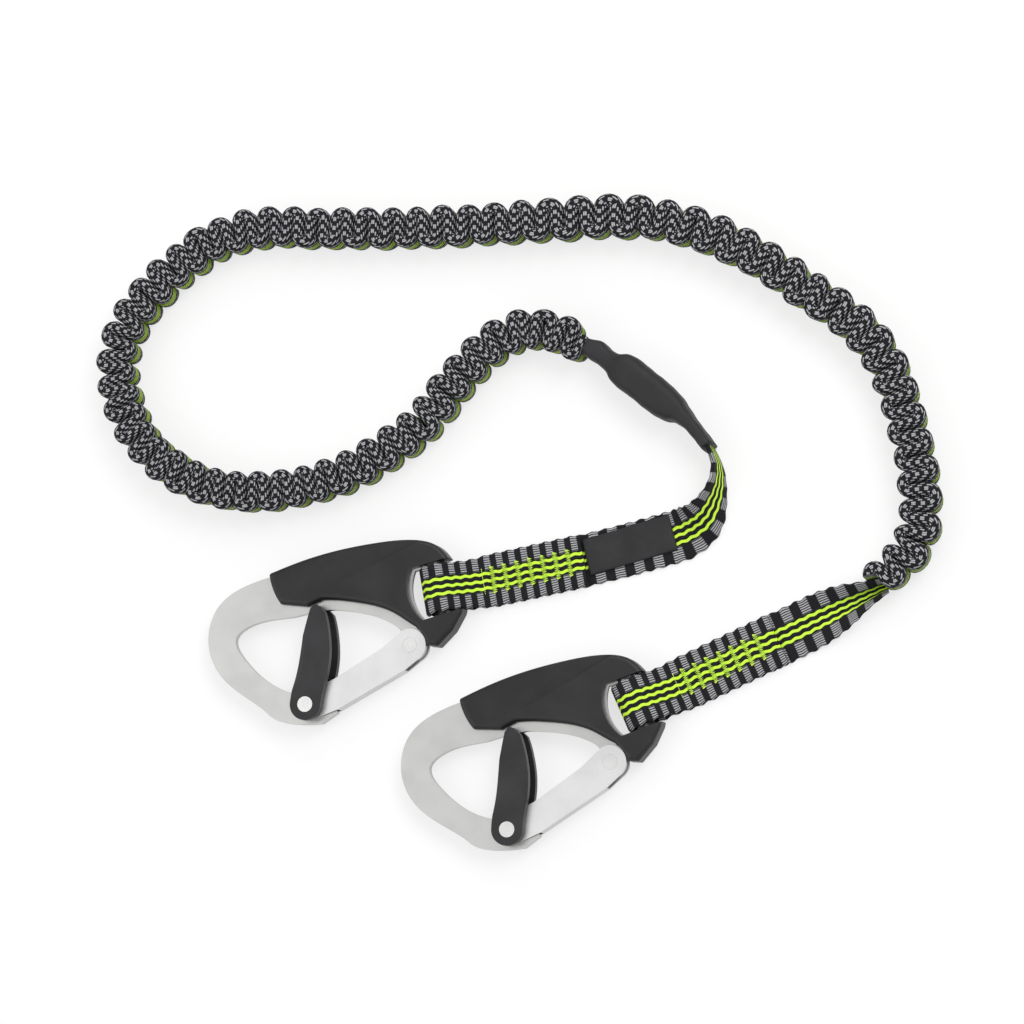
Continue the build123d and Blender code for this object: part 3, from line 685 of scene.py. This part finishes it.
def add_sleeve(material):
    """A flat pouch standing on its edge, closed up at both ends, with soft dents."""
    rings, weaves = [], []
    travelled = 0.0
    rows = eased(SLEEVE_STATIONS, SLEEVE_STEPS)
    chance = random.Random(11)
    phases = [chance.uniform(0, 6) for _ in SLEEVE_DENTS]
    for i, (x, y, heading, width, height) in enumerate(rows):
        if i:
            travelled += math.hypot(x - rows[i - 1][0], y - rows[i - 1][1]) * MM
        _, left = way_and_left(heading)
        middle = spot(x, y, height / 2 + SLEEVE_LIFT)
        ring, weave = [], []
        for j in range(SLEEVE_AROUND):
            turn = 2 * math.pi * j / SLEEVE_AROUND
            c, s = math.cos(turn), math.sin(turn)
            across = math.copysign(abs(c) ** SLEEVE_ROUND, c)
            up = math.copysign(abs(s) ** SLEEVE_ROUND, s)
            dent = sum(depth * math.sin(travelled / MM * along + over * s + phase)
                       for (depth, along, over), phase in zip(SLEEVE_DENTS, phases))
            half = width / 2 + dent
            ring.append(middle + left * across * half * MM + UP * (up * height / 2 * MM))
            weave.append((travelled, turn * SLEEVE_WEAVE_R))
        rings.append(ring)
        weaves.append(weave)
    piece = skin("sleeve_cover", rings, weaves, material)
    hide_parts("protective_sleeve", "shock_pack")


def add_label(material):
    """A thin cloth patch, its edges turned down a little and its face left bare."""
    wide, deep = LABEL_SIZE
    columns, rows = LABEL_STEPS
    along, aside = way_and_left(LABEL_ANGLE)
    rings, weaves = [], []
    for i in range(columns + 1):
        x = wide * (i / columns - 0.5)
        lower, upper, weave = [], [], []
        for j in range(rows + 1):
            y = deep * (j / rows - 0.5)
            edge = min(wide / 2 - abs(x), deep / 2 - abs(y))
            swell = LABEL_SWELL * math.cos(x * LABEL_WAVES[0]) * math.cos(y * LABEL_WAVES[1])
            top = LABEL_TOP - LABEL_DROP * math.exp(-edge / LABEL_EDGE) + swell
            place = spot(*LABEL_CENTRE) + along * x * MM + aside * y * MM
            upper.append(place + UP * (top * MM))
            lower.append(place + UP * ((top - LABEL_T) * MM))
            weave.append((x * MM, y * MM))
        rings.append(upper + lower[::-1])
        weaves.append(weave + weave[::-1])
    piece = skin("label_patch", rings, weaves, material)
    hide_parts("label")


# ---- floor and light ----------------------------------------------------------------
def bright_to_camera(tree, glow, plain, output, plain_share=0.0):
    """White where the camera, a reflection or a pane of glass looks, plain elsewhere."""
    path = tree.nodes.new("ShaderNodeLightPath")
    seen = calc(tree, "MAXIMUM", path.outputs["Is Camera Ray"], path.outputs["Is Glossy Ray"])
    seen = calc(tree, "MAXIMUM", seen, path.outputs["Is Transmission Ray"])
    white = tree.nodes.new(glow)
    white.inputs["Color"].default_value = WHITE
    blend = tree.nodes.new("ShaderNodeMixShader")
    feed(tree, calc(tree, "MULTIPLY", seen, 1.0 - plain_share), blend.inputs[0])
    feed(tree, plain.outputs[0], blend.inputs[1])
    feed(tree, white.outputs[0], blend.inputs[2])
    feed(tree, blend.outputs[0], output.inputs["Surface"])


def add_floor():
    mesh = bpy.data.meshes.new("floor")
    corners = [(x * FLOOR_HALF, y * FLOOR_HALF, 0) for x, y in ((-1, -1), (1, -1), (1, 1), (-1, 1))]
    mesh.from_pydata(corners, [], [(0, 1, 2, 3)])
    floor = bpy.data.objects.new("floor", mesh)
    bpy.context.scene.collection.objects.link(floor)
    material, tree, shader = new_material("floor")
    shader.inputs["Base Color"].default_value = FLOOR_COLOUR
    shader.inputs["Roughness"].default_value = FLOOR_ROUGH
    bright_to_camera(tree, "ShaderNodeEmission", shader, tree.nodes["Material Output"], FLOOR_SHADOW)
    mesh.materials.append(material)


def add_world():
    world = bpy.data.worlds.new("studio")
    world.use_nodes = True
    bpy.context.scene.world = world
    tree = world.node_tree
    light = tree.nodes["Background"]
    light.inputs["Color"].default_value = WHITE
    light.inputs["Strength"].default_value = WORLD_LIGHT
    bright_to_camera(tree, "ShaderNodeBackground", light, tree.nodes["World Output"])


# ---- making it ----------------------------------------------------------------------
bpy.context.scene.view_settings.view_transform = "Standard"
add_camera()

GATHERED = webbing_material("gathered_webbing", block=4.4, lag_step=1.35, share=0.22, lime_half=2.3)
SEWN = webbing_material("sewn_webbing", block=6.2)
PLAIN = webbing_material("plain_webbing", block=9.5)
THREAD = thread_material()
# each cloth's light colour is its painted highlight on the yarns' crowns, and its random lighter patches
SLEEVE_CLOTH = cloth_material("sleeve_fabric", dark=(0.008, 0.008, 0.009, 1), light=(0.022, 0.022, 0.024, 1),
                              pitch=0.7 * MM, rough=0.5)
LABEL_CLOTH = cloth_material("label_cloth", dark=(0.009, 0.009, 0.010, 1), light=(0.030, 0.030, 0.032, 1),
                             pitch=0.5 * MM, rough=0.6)
add_elastic_line(GATHERED)
for side in ("a", "b"):
    add_loop(side, SEWN)
    add_stitching(side, THREAD)
add_strap_b(PLAIN)
add_link(PLAIN)
add_sleeve(SLEEVE_CLOTH)
add_label(LABEL_CLOTH)

STEEL = satin_steel("satin_steel", tint=(0.47, 0.47, 0.46), rough=0.24)
GATE_STEEL = satin_steel("gate_steel", tint=(0.60, 0.60, 0.60), rough=0.28)
POLISHED = satin_steel("polished_rivet", tint=(0.70, 0.70, 0.69), rough=0.14)
SPRING_STEEL = satin_steel("spring_steel", tint=(0.55, 0.55, 0.56), rough=0.22)
COVER = moulded("cover_nylon", dark=(0.006, 0.006, 0.007, 1), light=(0.014, 0.014, 0.015, 1),
                rough=0.26, grain_scale=2200, grain_strength=0.12)
LEVER = moulded("lever_nylon", dark=(0.010, 0.010, 0.011, 1), light=(0.022, 0.022, 0.024, 1),
                rough=0.24, grain_scale=1800, grain_strength=0.10)
FINISHES = {
    "hook_plate": STEEL, "gate": GATE_STEEL, "gate_rivet": POLISHED, "lever_rivet": POLISHED,
    "gate_washers": STEEL, "lever_washers": STEEL, "gate_spring": SPRING_STEEL, "lever_spring": SPRING_STEEL,
    "cover_front": COVER, "cover_rear": COVER, "lock_lever": LEVER,
}
for name, material in FINISHES.items():
    for side in ("a", "b"):
        node = frame["nodes"][f"{name}_{side}"]
        node.data.materials.clear()
        node.data.materials.append(material)

add_floor()
add_world()
for lamp in LAMPS:
    add_lamp(*lamp)
